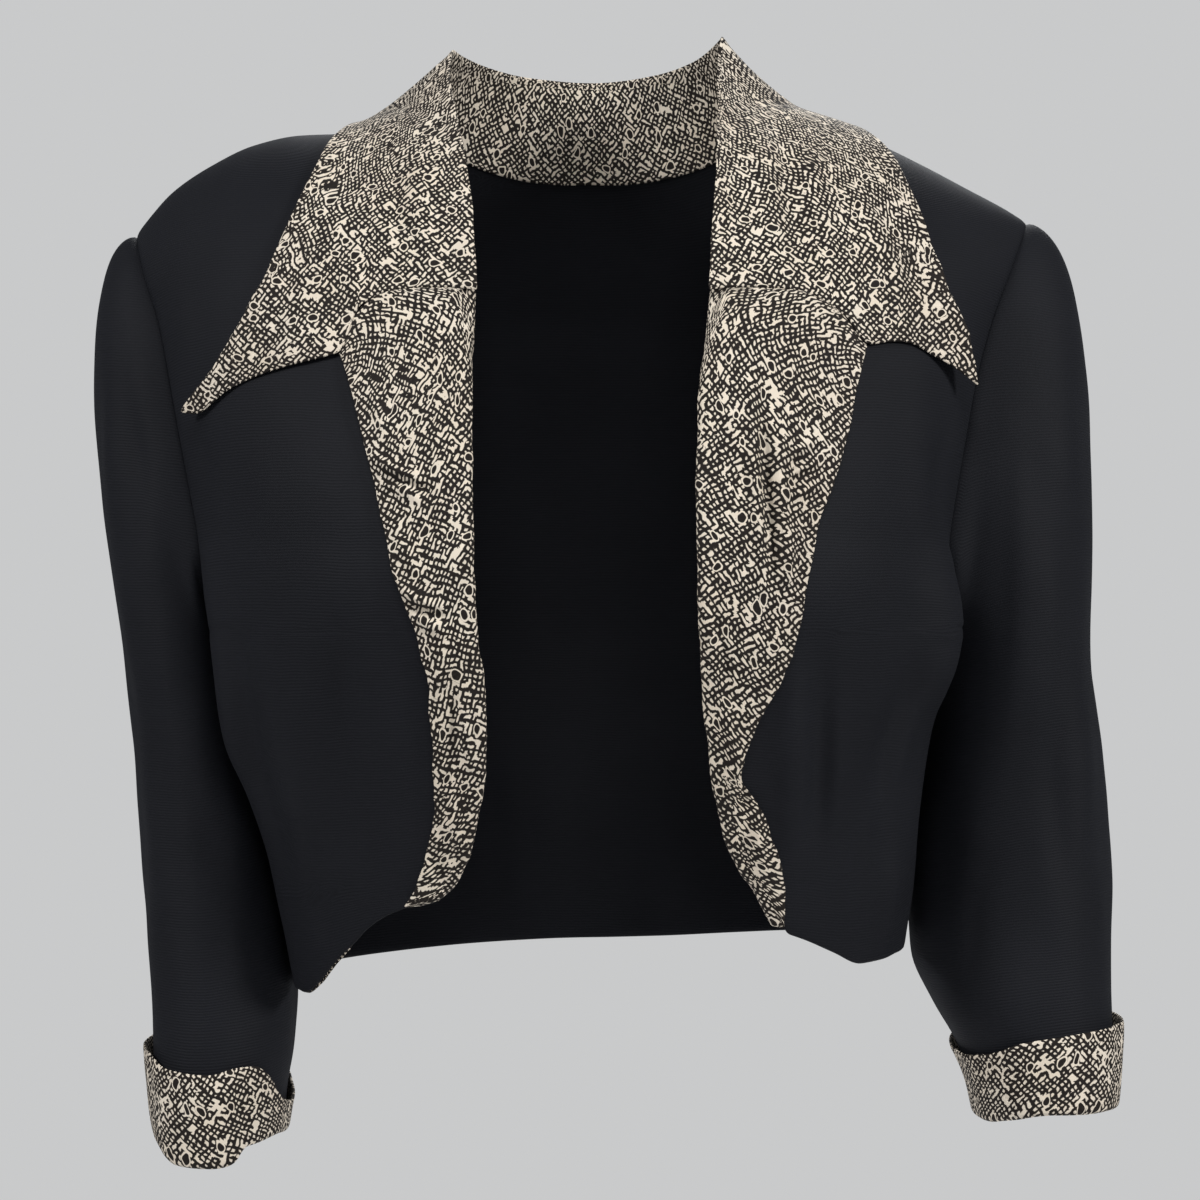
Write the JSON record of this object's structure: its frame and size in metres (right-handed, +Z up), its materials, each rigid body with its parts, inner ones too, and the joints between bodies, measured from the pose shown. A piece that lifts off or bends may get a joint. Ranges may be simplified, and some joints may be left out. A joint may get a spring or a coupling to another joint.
{
  "type": "bolero jacket",
  "caption": "Cropped open-front bolero jacket in its worn hollow form, with a long-point collar, lapels and turned-back cuffs in print.",
  "frame": {"origin": "where the wearer's shoulders hold the jacket: midway between them, at the level of the side neck points", "axes": "+Z up, front of the jacket towards -Y, wearer's left towards +X"},
  "size_m": [0.4704, 0.2325, 0.5074],
  "materials": {
    "crepe": "black ribbed crepe, matt with a soft sheen",
    "print": "printed crepe, cream cells on black-brown"
  },
  "bodies": {
    "root": {"back": "crepe", "front_right": "crepe", "front_left": "crepe", "sleeve_right": "crepe", "sleeve_left": "crepe", "lapel_right": "print", "lapel_left": "print", "collar": "print", "cuff_right": "print", "cuff_left": "print"}
  },
  "joints": []
}
